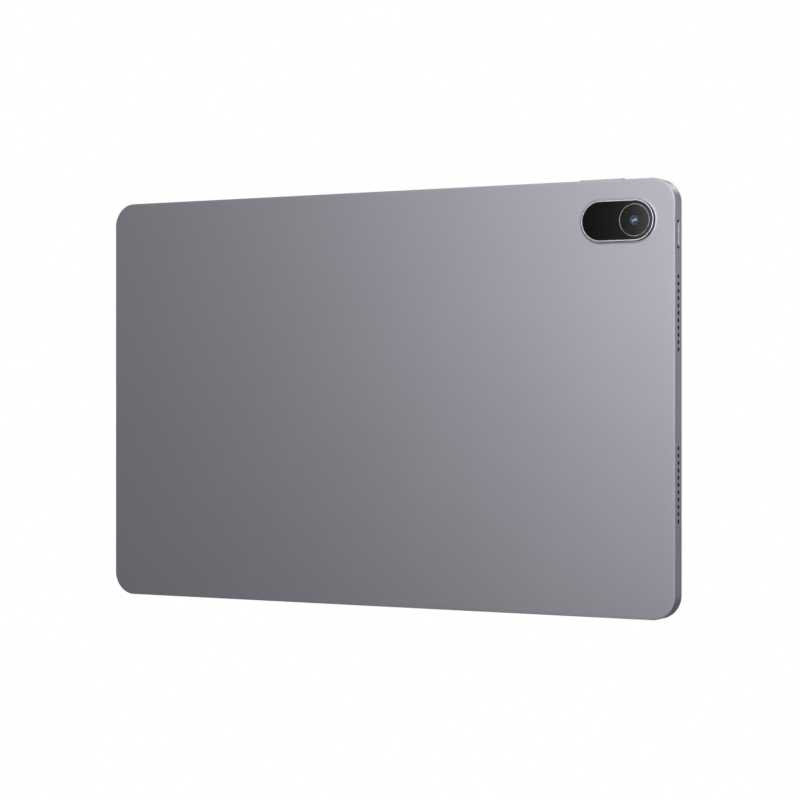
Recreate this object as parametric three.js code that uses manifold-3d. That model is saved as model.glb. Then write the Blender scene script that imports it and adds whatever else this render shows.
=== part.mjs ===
// An 11-inch tablet computer, standing on its long bottom edge. A milled aluminium casing
// holds the battery, boards, speakers and cameras, and the display and its cover glass
// close it at the front. Millimetres, +Z up. The casing's back faces -Y and the screen
// faces +Y, so +X is on the right when the back is looked at. The origin is the middle of
// the bottom edge.

import * as THREE from "three";
import { mergeVertices } from "three/addons/utils/BufferGeometryUtils.js";
import Module from "manifold-3d";

const wasm = await Module();
wasm.setup();

// ---- Driving dimensions ----------------------------------------------------------------

const WIDTH = 252.3;
const HEIGHT = 163.8;
const THICKNESS = 6.9;
const CORNER_R = 9.2;

const SIDE_X = WIDTH / 2;
const MID_Z = HEIGHT / 2;
const BACK_Y = -THICKNESS / 2;
const FRONT_Y = THICKNESS / 2;

const EDGE_CHAMFER = 0.4; // between the back and the side walls
const RIM_CHAMFER = 0.2; // between the side walls and the front rim
const RIM_Y = FRONT_Y - 0.2; // the metal stops short of the glass's face
const BACK_WALL = 0.8;
const SIDE_WALL = 2.2; // behind the ledge that carries the display
const RIM_WALL = 0.95; // around the display
const LEDGE_Y = 1.0;
const GAP = 0.1; // assembly clearance
const FILM = 0.04; // what adhesive and print leave between stacked layers

const FLOOR_Y = BACK_Y + BACK_WALL; // inner face of the back wall
const WALL_X = SIDE_X - SIDE_WALL; // inner face of the right wall
const WALL_TOP_Z = HEIGHT - SIDE_WALL; // inner face of the top wall

// Rear camera island: a stadium whose right-hand arc is concentric with the lens.
const WINDOW_R = 7.22;
const ISLAND_HALF = 6.95; // centre of the stadium to the centre of each arc
const ISLAND_X = SIDE_X - 22.6;
const ISLAND_Z = HEIGHT - 15.45;
const PLATEAU_R = 8.45;
const PLATEAU_TOP_R = 8.0;
const PLATEAU_H = 0.4;
const TRIM_R = 7.8;
const TRIM_H = 1.35; // crest of the trim above the back
const TRIM_SHELF_H = 0.62;
const CAMERA_HOLE_R = 7.0;
const LENS_RING_R = 5.87; // middle of the thin ring on the window
const LENS_RING_W = 0.26;
const APERTURE_R = 1.9;

// Keys
const KEY_Y = -0.15;
const KEY_W = 1.8;
const SLOT_W = 2.2;
const KEY_PROUD = 0.55;
const POWER_Z = MID_Z + 60.8;
const POWER_SLOT = 10.4;
const POWER_KEY = 10.0;
const POWER_TRAVEL = 0.4;
const ROCKER_X = SIDE_X - 30.35;
const ROCKER_SLOT = 18.6;
const ROCKER_KEY = 18;
const ROCKER_PIVOT = -3.3; // below the top edge

// Sound and charging
const SPEAKER_HOLES = 11;
const SPEAKER_PITCH = 2.7;
const SPEAKER_HOLE_R = 0.75;
const SPEAKER_Z = 31.8; // middle of a hole row above or below mid height
const USB_Y = -0.95;
const USB_SHELL_R = 1.58;
const USB_SHELL_HALF = 2.89; // centre to the centre of each end arc
const USB_LENGTH = 7.3;
const MIC_Z = MID_Z + 8.8;
const MIC_HOLE_R = 0.4;

// Display
const GLASS_BACK_Y = 2.8;
const GLASS_INSET = RIM_WALL + GAP;
const FRAME_INSET = GLASS_INSET + GAP;
const FRAME_BACK_Y = LEDGE_Y + 0.08;
const LCD_HALF_X = 120.6;
const LCD_BOTTOM_Z = 4.85;
const LCD_TOP_Z = 157.05;
const BACKPLATE_Y = 0.7;
const BACKLIGHT_Y = 0.95;
const LCD_Y = 1.95;
const FRONT_CAMERA_Z = HEIGHT - 4.4;
const LIGHT_SENSOR_X = 10;

// Boards and battery
const BOARD_Y = -1.35;
const BOARD_T = 0.7;
const BOARD_TOP_Y = BOARD_Y + BOARD_T;
const MAIN_BOARD = { x0: 86, x1: 110.5, z0: 16, z1: 138 };
const USB_BOARD = { x0: -122, x1: -104.5, z0: MID_Z - 12.4, z1: MID_Z + 12.6 };
const CELL = { w: 90, z0: 34, z1: 130, y0: -2.48, y1: 0.42, terrace: 4.5 };
const CELL_LEFT_X = -98;
const CELL_RIGHT_X = -6;
// The casing's ribs, which hold the cells' lower and upper ends.
const RIB = { w: 0.8, h: 1.6 };

const BOSS_R = 1.7;
const BORE_R = 0.62;
const SCREW_HEAD_R = 1.25;
const SCREW_SHANK_R = 0.5;
const SCREW_SHANK = 1.5;

// Every screw enters from the screen side: [name, x, z].
const SCREWS = [
  ["screw_main_board_1", 88.4, 18.6],
  ["screw_main_board_2", 108, 18.6],
  ["screw_main_board_3", 88.4, 135.4],
  ["screw_main_board_4", 103.4, 135.4],
  ["screw_usb_board_1", -107, MID_Z - 9.2],
  ["screw_usb_board_2", -107, MID_Z + 9.8],
  ["screw_power_bracket", 118.4, POWER_Z],
  ["screw_volume_bracket", 84.5, 157.4],
];

// ---- Outlines --------------------------------------------------------------------------

function roundedRect(x0, y0, x1, y1, r) {
  return new THREE.Shape()
    .moveTo(x0 + r, y0)
    .lineTo(x1 - r, y0)
    .absarc(x1 - r, y0 + r, r, -Math.PI / 2, 0)
    .lineTo(x1, y1 - r)
    .absarc(x1 - r, y1 - r, r, 0, Math.PI / 2)
    .lineTo(x0 + r, y1)
    .absarc(x0 + r, y1 - r, r, Math.PI / 2, Math.PI)
    .lineTo(x0, y0 + r)
    .absarc(x0 + r, y0 + r, r, Math.PI, 1.5 * Math.PI);
}

function rect(x0, y0, x1, y1) {
  return polygon([x0, y0], [x1, y0], [x1, y1], [x0, y1]);
}

function polygon(...points) {
  return new THREE.Shape(points.map(([x, y]) => new THREE.Vector2(x, y)));
}

function circle(x, y, r) {
  return new THREE.Shape().absarc(x, y, r, 0, 2 * Math.PI);
}

// A stadium whose arcs are centred half to each side, along the outline's x or y.
function stadium(half, r, upright = false) {
  const shape = new THREE.Shape();
  if (upright) {
    return shape.absarc(0, half, r, 0, Math.PI).absarc(0, -half, r, Math.PI, 2 * Math.PI);
  }
  return shape
    .absarc(half, 0, r, -Math.PI / 2, Math.PI / 2)
    .absarc(-half, 0, r, Math.PI / 2, 1.5 * Math.PI);
}

// The tablet's own outline in X and Z, drawn in by inset.
function bodyOutline(inset) {
  return roundedRect(
    -SIDE_X + inset,
    inset,
    SIDE_X - inset,
    HEIGHT - inset,
    CORNER_R - inset,
  );
}

// ---- Solids ----------------------------------------------------------------------------

// An outline's x and y become Y and Z along X, X and Z along Y, and X and Y along Z.
const AXES = {
  X: new THREE.Matrix4().makeBasis(vector(0, 1, 0), vector(0, 0, 1), vector(1, 0, 0)),
  Y: new THREE.Matrix4().makeBasis(vector(1, 0, 0), vector(0, 0, 1), vector(0, -1, 0)),
  Z: new THREE.Matrix4(),
};

function vector(x, y, z) {
  return new THREE.Vector3(x, y, z);
}

function solid(geometry) {
  const bare = geometry.index ? geometry.toNonIndexed() : geometry.clone();
  bare.deleteAttribute("normal");
  bare.deleteAttribute("uv");
  const merged = mergeVertices(bare, 1e-4);
  return new wasm.Manifold(
    new wasm.Mesh({
      numProp: 3,
      vertProperties: merged.attributes.position.array,
      triVerts: new Uint32Array(merged.index.array),
    }),
  );
}

// An outline pushed along an axis from one coordinate to another. An arc gets two facets
// for each of its curve segments.
function prism(shape, axis, from, to, curveSegments = 3) {
  const geometry = new THREE.ExtrudeGeometry(shape, {
    depth: to - from,
    bevelEnabled: false,
    curveSegments,
  }).applyMatrix4(AXES[axis]);
  const shift = { X: [from, 0, 0], Y: [0, to, 0], Z: [0, 0, from] }[axis];
  return solid(geometry.translate(...shift));
}

// A solid through similar outlines: sections are [outline, coordinate along the axis].
function loft(axis, sections, curveSegments = 3) {
  const rings = sections.map(([shape, at]) => {
    const points = shape.getPoints(curveSegments);
    const apart = (p, i) => p.distanceTo(points.at(i - 1)) > 1e-6;
    return points.filter(apart).map((p) => vector(p.x, p.y, axis === "Y" ? -at : at));
  });
  const flat = rings[0].map((p) => new THREE.Vector2(p.x, p.y));
  const cap = THREE.ShapeUtils.triangulateShape(flat, []);
  const climbs = rings[1][0].z > rings[0][0].z;
  const corners = [];
  const face = (...points) => corners.push(...(climbs ? points : points.reverse()));
  rings.slice(1).forEach((upper, k) => {
    const lower = rings[k];
    lower.forEach((p, i) => {
      const j = (i + 1) % lower.length;
      face(p, lower[j], upper[j]);
      face(p, upper[j], upper[i]);
    });
  });
  const last = rings[rings.length - 1];
  for (const [a, b, c] of cap) {
    face(rings[0][a], rings[0][c], rings[0][b]);
    face(last[a], last[b], last[c]);
  }
  const geometry = new THREE.BufferGeometry().setFromPoints(corners);
  return solid(geometry.applyMatrix4(AXES[axis]));
}

function join(...solids) {
  return solids.reduce((sum, s) => sum.add(s));
}

function cut(from, ...tools) {
  return tools.reduce((rest, t) => rest.subtract(t), from);
}

function box(x0, x1, y0, y1, z0, z1) {
  return prism(rect(x0, y0, x1, y1), "Z", z0, z1);
}

// ---- Scene graph -----------------------------------------------------------------------

const tablet = new THREE.Group();

function material(color, roughness, metalness) {
  return new THREE.MeshStandardMaterial({ color, roughness, metalness });
}

const MATERIALS = {
  casing: material(0x8f8e95, 0.45, 1),
  polished: material(0xc4c3ca, 0.15, 1),
  blackGlass: material(0x0b0b0d, 0.05, 0),
  lens: material(0x141830, 0.02, 0),
  steel: material(0xb4b6b8, 0.35, 1),
  blackPlastic: material(0x1a1a1c, 0.6, 0),
  board: material(0x15331f, 0.5, 0),
  flex: material(0xb5722b, 0.4, 0.2),
  batteryWrap: material(0x2a2b2e, 0.5, 0.3),
  graphite: material(0x3a3a3c, 0.6, 0.4),
  panel: material(0x101216, 0.1, 0),
  reflector: material(0xe8e8e4, 0.6, 0),
  foam: material(0x121212, 0.95, 0),
};

function place(group, name, made, look, position = [0, 0, 0]) {
  const mesh = made.getMesh();
  const geometry = new THREE.BufferGeometry();
  geometry.setAttribute("position", new THREE.BufferAttribute(mesh.vertProperties, 3));
  geometry.setIndex(new THREE.BufferAttribute(mesh.triVerts, 1));
  geometry.computeVertexNormals();
  const node = new THREE.Mesh(geometry, look);
  node.name = name;
  node.position.set(...position);
  group.add(node);
  return node;
}

function groupAt(x, y, z) {
  const group = new THREE.Group();
  group.position.set(x, y, z);
  tablet.add(group);
  return group;
}

// ---- Casing ----------------------------------------------------------------------------

function speakerHoles(side, row) {
  const first = MID_Z + row * SPEAKER_Z - (SPEAKER_PITCH * (SPEAKER_HOLES - 1)) / 2;
  const [from, to] = side > 0 ? [WALL_X - 1, SIDE_X + 1] : [-SIDE_X - 1, -WALL_X + 1];
  return Array.from({ length: SPEAKER_HOLES }, (_, i) =>
    prism(circle(0, first + i * SPEAKER_PITCH, SPEAKER_HOLE_R), "X", from, to, 5),
  );
}

function rearCasing() {
  const block = loft("Y", [
    [bodyOutline(EDGE_CHAMFER), BACK_Y],
    [bodyOutline(0), BACK_Y + EDGE_CHAMFER],
    [bodyOutline(0), RIM_Y - RIM_CHAMFER],
    [bodyOutline(RIM_CHAMFER), RIM_Y],
  ]);
  const plateau = loft(
    "Y",
    [
      [stadium(ISLAND_HALF, PLATEAU_R), BACK_Y + 0.2],
      [stadium(ISLAND_HALF, PLATEAU_R), BACK_Y],
      [stadium(ISLAND_HALF, PLATEAU_TOP_R), BACK_Y - PLATEAU_H],
    ],
    6,
  ).translate([ISLAND_X, 0, ISLAND_Z]);
  const cavity = prism(bodyOutline(SIDE_WALL), "Y", FLOOR_Y, FRONT_Y);
  const pocket = prism(bodyOutline(RIM_WALL), "Y", LEDGE_Y, FRONT_Y);
  const shell = cut(join(block, plateau), cavity, pocket);

  const bosses = SCREWS.map(([, x, z]) =>
    prism(circle(x, z, BOSS_R), "Y", FLOOR_Y - 0.1, BOARD_Y - FILM, 6),
  );
  const bores = SCREWS.map(([, x, z]) =>
    prism(circle(x, z, BORE_R), "Y", FLOOR_Y + 0.1, BOARD_Y, 4),
  );
  const ribs = [CELL.z0 - 2 * RIB.w, CELL.z1 + RIB.w].map((z) =>
    box(CELL_LEFT_X, CELL_RIGHT_X + CELL.w, FLOOR_Y - 0.1, FLOOR_Y + RIB.h, z, z + RIB.w),
  );

  const cameraHole = prism(
    stadium(ISLAND_HALF, CAMERA_HOLE_R),
    "Y",
    BACK_Y - 1,
    FLOOR_Y + 1,
    6,
  ).translate([ISLAND_X, 0, ISLAND_Z]);
  const powerSlot = prism(
    stadium((POWER_SLOT - SLOT_W) / 2, SLOT_W / 2, true),
    "X",
    WALL_X - 1,
    SIDE_X + 1,
    4,
  ).translate([0, KEY_Y, POWER_Z]);
  const rockerSlot = prism(
    stadium((ROCKER_SLOT - SLOT_W) / 2, SLOT_W / 2),
    "Z",
    WALL_TOP_Z - 1,
    HEIGHT + 1,
    4,
  ).translate([ROCKER_X, KEY_Y, 0]);
  const usbPort = prism(
    stadium(USB_SHELL_HALF, USB_SHELL_R + GAP, true),
    "X",
    -SIDE_X - 1,
    -WALL_X + 1,
    5,
  ).translate([0, USB_Y, MID_Z]);
  const micHole = prism(
    circle(KEY_Y, MIC_Z, MIC_HOLE_R),
    "X",
    -SIDE_X - 1,
    -WALL_X + 1,
    4,
  );
  const sound = [1, -1].flatMap((side) => [1, -1].flatMap((row) => speakerHoles(side, row)));

  const milled = cut(join(shell, ...bosses, ...ribs), ...bores);
  return cut(milled, cameraHole, powerSlot, rockerSlot, usbPort, micHole, ...sound);
}

place(tablet, "rear_casing", rearCasing(), MATERIALS.casing);

// ---- Rear camera -----------------------------------------------------------------------
// The group's origin is the island's centre on the back face, so -Y is out of the back.

const island = groupAt(ISLAND_X, BACK_Y, ISLAND_Z);

function islandRing(outer, inner, from, to) {
  return cut(
    prism(stadium(ISLAND_HALF, outer), "Y", -to, -from, 6),
    prism(stadium(ISLAND_HALF, inner), "Y", -to - 1, -from + 1, 6),
  );
}

function cameraTrim() {
  const tail = islandRing(CAMERA_HOLE_R - GAP, 6.1, -BACK_WALL, TRIM_SHELF_H);
  const shelf = islandRing(TRIM_R, 6.1, PLATEAU_H + FILM, TRIM_SHELF_H);
  const lip = loft(
    "Y",
    [
      [stadium(ISLAND_HALF, TRIM_R), -TRIM_SHELF_H + 0.1],
      [stadium(ISLAND_HALF, TRIM_R), -TRIM_H + 0.2],
      [stadium(ISLAND_HALF, TRIM_R - 0.2), -TRIM_H],
    ],
    6,
  );
  const seat = prism(stadium(ISLAND_HALF, WINDOW_R + 0.02), "Y", -TRIM_H - 1, 0, 6);
  return join(tail, shelf, cut(lip, seat));
}

function cameraWindow() {
  const pane = prism(stadium(ISLAND_HALF, WINDOW_R - 0.02), "Y", -TRIM_H + 0.1, -0.66, 6);
  return cut(pane, prism(circle(ISLAND_HALF, 0, APERTURE_R), "Y", -2, 0, 8));
}

function lensRing() {
  const outline = (r) => circle(ISLAND_HALF, 0, r);
  const base = -TRIM_H + 0.1 - FILM;
  return cut(
    prism(outline(LENS_RING_R + LENS_RING_W / 2), "Y", base - 0.1, base, 10),
    prism(outline(LENS_RING_R - LENS_RING_W / 2), "Y", base - 1, base + 1, 10),
  );
}

function lensGlass() {
  const r = APERTURE_R - 0.05;
  return loft(
    "Y",
    [
      [circle(ISLAND_HALF, 0, r), -0.66],
      [circle(ISLAND_HALF, 0, r), -TRIM_H + 0.2],
      [circle(ISLAND_HALF, 0, r - 0.15), -TRIM_H + 0.1],
    ],
    8,
  );
}

function cameraBarrel() {
  const wide = prism(circle(ISLAND_HALF, 0, 3.2), "Y", -0.3, 1.2, 8);
  const nose = prism(circle(ISLAND_HALF, 0, 2.5), "Y", -0.6, 0, 8);
  const mouth = prism(circle(ISLAND_HALF, 0, 1.3), "Y", -1, 0.1, 6);
  return cut(join(wide, nose), mouth);
}

function cameraHousing() {
  const half = 4.3;
  const body = box(ISLAND_HALF - half, ISLAND_HALF + half, 1.24, 3.7, -half, half);
  const sensorCap = box(ISLAND_HALF - 3.4, ISLAND_HALF + 3.4, 3.6, 3.95, -3.4, 3.4);
  return join(body, sensorCap);
}

function cameraFlex() {
  const [x0, x1, y0, y1] = [2.6, 6.6, BOARD_TOP_Y - BACK_Y + FILM, 3.72];
  const strip = box(x0, x1, y1, y1 + 0.12, -14, -4);
  const step = box(x0, x1, y0, y1 + 0.12, -14.12, -14);
  const landing = box(x0, x1, y0, y0 + 0.12, -17.5, -14);
  return join(strip, step, landing);
}

place(island, "camera_trim_ring", cameraTrim(), MATERIALS.polished);
place(island, "camera_window", cameraWindow(), MATERIALS.blackGlass);
place(island, "lens_trim_ring", lensRing(), MATERIALS.polished);
place(island, "lens_glass", lensGlass(), MATERIALS.lens);
place(island, "rear_camera_barrel", cameraBarrel(), MATERIALS.blackPlastic);
place(island, "rear_camera_housing", cameraHousing(), MATERIALS.steel);
place(island, "rear_camera_flex", cameraFlex(), MATERIALS.flex);

// ---- Power button ----------------------------------------------------------------------
// The group's origin is on the right side face, at the middle of the slot.

const powerKey = groupAt(SIDE_X, KEY_Y, POWER_Z);
const POWER_NUB = -3.2;
const DOME_H = 0.25;

function powerButton() {
  const half = (POWER_KEY - KEY_W) / 2;
  const cap = loft(
    "X",
    [
      [stadium(half, KEY_W / 2, true), -2.4],
      [stadium(half, KEY_W / 2, true), KEY_PROUD - 0.2],
      [stadium(half, KEY_W / 2 - 0.2, true), KEY_PROUD],
    ],
    4,
  );
  const flange = box(-2.85, -2.3, -1.45, 1.1, -6, 6);
  const nub = prism(circle(0, 0, 0.7), "X", POWER_NUB, -2.8, 4);
  return join(cap, flange, nub);
}

// A dome switch on its own small board, facing the nub across the key's travel.
function powerSwitch() {
  const top = POWER_NUB - POWER_TRAVEL - 0.1;
  const dome = prism(circle(0, 0, 1), "X", top - DOME_H - 0.1, top, 5);
  return join(dome, box(top - DOME_H - 0.4, top - DOME_H, -1.2, 1.1, -3.2, 3.2));
}

function powerBracket() {
  const back = POWER_NUB - POWER_TRAVEL - 0.1 - DOME_H - 0.4 - FILM;
  const foot = BOARD_Y - KEY_Y;
  const plate = box(back - 0.3, back, foot, 1.1, -5.6, 5.6);
  const tab = box(-10, back - 0.1, foot, foot + 0.3, -3, 3);
  const screwX = SCREWS.find(([name]) => name === "screw_power_bracket")[1] - SIDE_X;
  return cut(join(plate, tab), prism(circle(screwX, 0, BORE_R), "Y", foot - 1, foot + 1, 4));
}

place(powerKey, "power_button", powerButton(), MATERIALS.casing);
place(powerKey, "power_switch", powerSwitch(), MATERIALS.blackPlastic);
place(powerKey, "power_bracket", powerBracket(), MATERIALS.steel);

// ---- Volume rocker ---------------------------------------------------------------------
// The group's origin is on the top edge, at the middle of the slot. The rocker tips about
// the rest in its middle and closes one dome or the other.

const volumeKey = groupAt(ROCKER_X, KEY_Y, HEIGHT);
const VOLUME_NUB_X = 6.5;

function volumeRocker() {
  const half = (ROCKER_KEY - KEY_W) / 2;
  const cap = loft(
    "Z",
    [
      [stadium(half, KEY_W / 2), -2.7],
      [stadium(half, KEY_W / 2), KEY_PROUD - 0.2],
      [stadium(half, KEY_W / 2 - 0.2), KEY_PROUD],
    ],
    4,
  );
  const flange = box(-10, 10, -1.45, 1.1, -3, -2.6);
  const nubs = [-VOLUME_NUB_X, 0, VOLUME_NUB_X].map((x) =>
    prism(circle(x, 0, 0.6), "Z", ROCKER_PIVOT, -2.9, 4),
  );
  return join(cap, flange, ...nubs);
}

function volumeSwitchBoard() {
  const top = -3.7;
  const plate = box(-9.4, 9.4, -1.2, 1.1, top - 0.4, top);
  const domes = [-VOLUME_NUB_X, VOLUME_NUB_X].map((x) =>
    prism(circle(x, 0, 1), "Z", top - 0.1, ROCKER_PIVOT - 0.22, 5),
  );
  const rest = box(-0.6, 0.6, -0.8, 0.8, top - 0.1, ROCKER_PIVOT - 0.05);
  return join(plate, ...domes, rest);
}

function volumeBracket() {
  const top = -4.1 - FILM;
  const foot = BOARD_Y - KEY_Y;
  const plate = box(-9.8, 10.2, foot, 1.1, top - 0.3, top);
  const tab = box(-15, -9.6, foot, foot + 0.3, -9.4, top);
  const gusset = box(-15, 10.2, foot, foot + 0.3, top - 1.2, top);
  const [, screwX, screwZ] = SCREWS.find(([name]) => name === "screw_volume_bracket");
  const hole = prism(
    circle(screwX - ROCKER_X, screwZ - HEIGHT, BORE_R),
    "Y",
    foot - 1,
    foot + 1,
    4,
  );
  return cut(join(plate, tab, gusset), hole);
}

place(volumeKey, "volume_rocker", volumeRocker(), MATERIALS.casing);
place(volumeKey, "volume_switch_board", volumeSwitchBoard(), MATERIALS.board);
place(volumeKey, "volume_bracket", volumeBracket(), MATERIALS.steel);

// ---- Speakers --------------------------------------------------------------------------
// Each speaker's group sits at its wall's inner face, at the middle of its row of holes,
// with +X pointing out through the holes.

function speakerBox() {
  const body = prism(roundedRect(-10.6, -17, -0.9, 17, 1.5), "Z", 0, 2.9, 2);
  const upright = body.rotate([90, 0, 0]).translate([0, 0.3, 0]);
  const nozzle = box(-1.2, -0.4, -1.0, 0.9, -14.6, 14.6);
  const surround = prism(stadium(8.6, 3.6, true), "Z", 0, 0.3, 4)
    .rotate([90, 0, 0])
    .translate([-5.9, 0.55, 0]);
  return join(upright, nozzle, surround);
}

function speakerMesh() {
  return box(-0.3, -0.12, -1.1, 0.95, -15, 15);
}

for (const [side, wall] of [
  ["right", WALL_X],
  ["left", -WALL_X],
]) {
  for (const [level, row] of [
    ["upper", 1],
    ["lower", -1],
  ]) {
    const bay = groupAt(wall, 0, MID_Z + row * SPEAKER_Z);
    bay.rotation.y = side === "left" ? Math.PI : 0;
    place(bay, `speaker_${side}_${level}`, speakerBox(), MATERIALS.blackPlastic);
    place(bay, `speaker_mesh_${side}_${level}`, speakerMesh(), MATERIALS.foam);
  }
}

// ---- USB board and socket --------------------------------------------------------------

function usbShell() {
  const tube = (r, from, to) => prism(stadium(USB_SHELL_HALF, r, true), "X", from, to, 5);
  return cut(tube(USB_SHELL_R, 0, USB_LENGTH), tube(1.28, -1, USB_LENGTH + 1));
}

function usbTongue() {
  const plug = prism(stadium(USB_SHELL_HALF, 1.25, true), "X", 6, USB_LENGTH - 0.1, 5);
  const blade = box(0.9, 6.1, -0.35, 0.35, -3.3, 3.3);
  return join(plug, blade);
}

function usbBoard() {
  const { x0, x1, z0, z1 } = USB_BOARD;
  const board = prism(roundedRect(x0, z0, x1, z1, 1), "Y", BOARD_Y, BOARD_TOP_Y, 2);
  const notch = box(x0 - 1, -118.6, -3, 1, MID_Z - 4.7, MID_Z + 4.7);
  return cut(board, notch, ...screwHoles("screw_usb_board"));
}

function screwHoles(prefix) {
  return SCREWS.filter(([name]) => name.startsWith(prefix)).map(([, x, z]) =>
    prism(circle(x, z, BORE_R), "Y", BOARD_Y - 1, BOARD_TOP_Y + 1, 4),
  );
}

const socketAt = [-SIDE_X + 0.1, USB_Y, MID_Z];
place(tablet, "usb_socket_shell", usbShell(), MATERIALS.steel, socketAt);
place(tablet, "usb_socket_tongue", usbTongue(), MATERIALS.blackPlastic, socketAt);
place(tablet, "usb_board", usbBoard(), MATERIALS.board);
place(
  tablet,
  "microphone",
  box(-121.9, -118.9, BOARD_TOP_Y + FILM, 0.3, MIC_Z - 1.6, MIC_Z + 1.6),
  MATERIALS.steel,
);

// ---- Main board ------------------------------------------------------------------------

function mainBoard() {
  const { x0, x1, z0, z1 } = MAIN_BOARD;
  const board = prism(roundedRect(x0, z0, x1, z1, 1.2), "Y", BOARD_Y, BOARD_TOP_Y, 2);
  const socket = box(91.5, 95, BOARD_TOP_Y - 0.1, BOARD_TOP_Y + 0.02, 127, 129.6);
  return cut(join(board, socket), ...screwHoles("screw_main_board"));
}

// A pressed lid with its four walls, open on the side of the board.
function shieldCan(w, h) {
  const base = BOARD_TOP_Y + FILM;
  const top = 0.42;
  const outer = box(0, w, base, top, 0, h);
  return cut(outer, box(0.2, w - 0.2, base - 1, top - 0.2, 0.2, h - 0.2));
}

place(tablet, "main_board", mainBoard(), MATERIALS.board);
place(tablet, "processor_shield", shieldCan(19, 25), MATERIALS.steel, [88, 0, 86]);
place(tablet, "power_shield", shieldCan(19, 24), MATERIALS.steel, [88, 0, 58]);
place(tablet, "radio_shield", shieldCan(17, 11), MATERIALS.steel, [90, 0, 113]);
place(
  tablet,
  "processor",
  box(91, 104, BOARD_TOP_Y + FILM, 0.15, 92, 105),
  MATERIALS.blackPlastic,
);

function ribbon(outline, from = BOARD_TOP_Y + 0.05) {
  return prism(outline, "Y", from, from + 0.12);
}

place(
  tablet,
  "board_link_flex",
  ribbon(
    polygon(
      [-112.8, 20],
      [92.5, 20],
      [92.5, 27],
      [-108.6, 27],
      [-108.6, MID_Z - 6],
      [-112.8, MID_Z - 6],
    ),
  ),
  MATERIALS.flex,
);

// ---- Battery ---------------------------------------------------------------------------

function batteryCell() {
  const { w, z0, z1, y0, y1, terrace } = CELL;
  const pouch = prism(roundedRect(0, z0, w, z1 - terrace, 1.5), "Y", y0, y1, 2);
  const shoulder = box(1, w - 1, y0, BOARD_Y - FILM, z1 - terrace - 2, z1);
  return join(pouch, shoulder);
}

place(tablet, "graphite_sheet", box(-97, 83, -2.62, -2.52, 36, 124), MATERIALS.graphite);
place(tablet, "battery_cell_left", batteryCell(), MATERIALS.batteryWrap, [CELL_LEFT_X, 0, 0]);
place(tablet, "battery_cell_right", batteryCell(), MATERIALS.batteryWrap, [
  CELL_RIGHT_X,
  0,
  0,
]);
place(
  tablet,
  "battery_protection_board",
  box(-40, 24, BOARD_Y, BOARD_TOP_Y, 126.2, 129.8),
  MATERIALS.board,
);
place(tablet, "battery_lead", ribbon(rect(18, 127.1, 95, 129.5)), MATERIALS.flex);

// ---- Antennas --------------------------------------------------------------------------

function antenna(length) {
  const carrier = box(0, length, -2.4, -1, 0, 8.4);
  const ridge = box(0, length, -1.2, 0.4, 2.4, 6);
  return join(carrier, ridge);
}

// A thin round lead through a few hand-placed points.
function lead(points, steps) {
  const path = new THREE.CatmullRomCurve3(points.map(([x, z]) => vector(x, -0.15, z)));
  return solid(
    new THREE.ExtrudeGeometry(circle(0, 0, 0.4), {
      steps,
      curveSegments: 3,
      bevelEnabled: false,
      extrudePath: path,
    }),
  );
}

place(tablet, "antenna_left", antenna(35), MATERIALS.blackPlastic, [-95, 0, 151.8]);
place(tablet, "antenna_right", antenna(35), MATERIALS.blackPlastic, [40, 0, 3.6]);
place(
  tablet,
  "antenna_lead_left",
  lead([[97, 136], [94, 140], [80, 142], [40, 142], [-20, 142], [-48, 144], [-59, 155]], 28),
  MATERIALS.blackPlastic,
);
place(
  tablet,
  "antenna_lead_right",
  lead([[98, 18.4], [94, 13.5], [86, 10.5], [76, 8]], 12),
  MATERIALS.blackPlastic,
);

// ---- Display ---------------------------------------------------------------------------

const LCD_OUTLINE = [-LCD_HALF_X, LCD_BOTTOM_Z, LCD_HALF_X, LCD_TOP_Z];

function displayFrame() {
  const outer = prism(bodyOutline(FRAME_INSET), "Y", FRAME_BACK_Y, GLASS_BACK_Y - FILM);
  const [x0, z0, x1, z1] = LCD_OUTLINE;
  const middle = box(x0 - 0.15, x1 + 0.15, 0, FRONT_Y, z0 - 0.15, z1 + 0.15);
  const cameraNotch = box(-2.6, 2.6, 0, FRONT_Y, z1, WALL_TOP_Z);
  const sensorNotch = box(
    LIGHT_SENSOR_X - 1.8,
    LIGHT_SENSOR_X + 1.8,
    0,
    FRONT_Y,
    z1,
    WALL_TOP_Z,
  );
  const flexNotch = box(44, 76, 0, FRONT_Y, 3.2, z0);
  return cut(outer, middle, cameraNotch, sensorNotch, flexNotch);
}

function displayAdhesive() {
  const from = LEDGE_Y + 0.02;
  return cut(
    prism(bodyOutline(FRAME_INSET), "Y", from, FRAME_BACK_Y - 0.02),
    prism(bodyOutline(SIDE_WALL), "Y", 0, FRONT_Y),
  );
}

// The ribbon leaves the panel at its bottom edge and folds round behind the backplate.
function displayFlex() {
  const across = (y0, y1, z0, z1) => box(45, 75, y0, y1, z0, z1);
  const leaf = across(2.2, 2.32, 3.9, LCD_BOTTOM_Z - 0.05);
  const fold = across(0.52, 2.32, 3.9, 4.02);
  const tail = across(0.52, 0.64, 3.9, 30);
  return join(leaf, fold, tail);
}

function coverGlass() {
  return loft("Y", [
    [bodyOutline(GLASS_INSET), GLASS_BACK_Y],
    [bodyOutline(GLASS_INSET), FRONT_Y - 0.25],
    [bodyOutline(GLASS_INSET + 0.25), FRONT_Y],
  ]);
}

function frontCamera() {
  const housing = box(-2.2, 2.2, 0.2, 2.2, -2, 2);
  return join(housing, prism(circle(0, 0, 1.5), "Y", 2.1, 2.5, 6));
}

function layer(y0, y1) {
  return prism(rect(...LCD_OUTLINE), "Y", y0, y1);
}

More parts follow.
